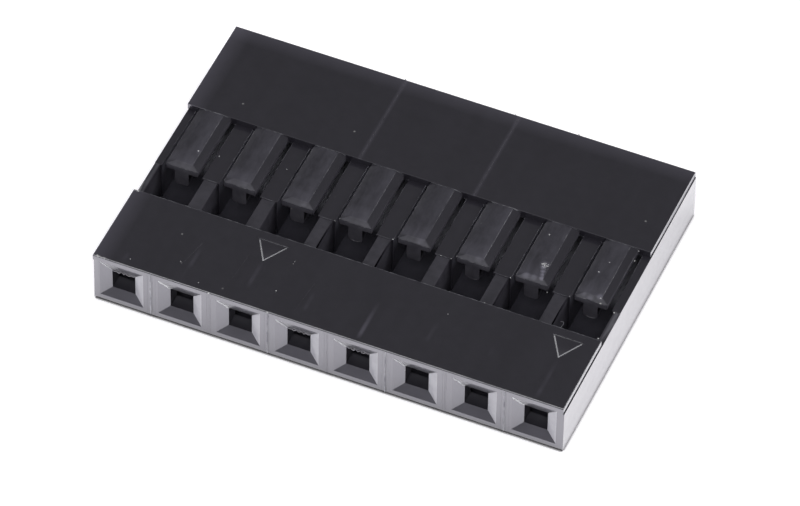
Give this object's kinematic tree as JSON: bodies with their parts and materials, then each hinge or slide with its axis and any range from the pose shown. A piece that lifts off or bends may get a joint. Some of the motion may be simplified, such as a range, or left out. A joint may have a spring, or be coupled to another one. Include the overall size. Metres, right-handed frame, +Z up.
{
  "type": "crimp connector housing",
  "caption": "Flat single-row plastic housing for crimp terminals, with square pin entries at one end, open cavities at the other and a window of locking tongues across its top.",
  "frame": {"origin": "on the resting face, midway between the two side faces and midway between the pin face and the wire face", "axes": "+X along the row of ways, +Y from the pin face to the wire face, +Z up out of the face that holds the tongues"},
  "size_m": [0.0202, 0.014, 0.0025],
  "materials": {
    "housing_plastic": "black moulded thermoplastic, satin gloss on the outer faces, slightly duller on the tongues and ribs"
  },
  "bodies": {
    "root": {"housing": "housing_plastic"}
  },
  "joints": []
}
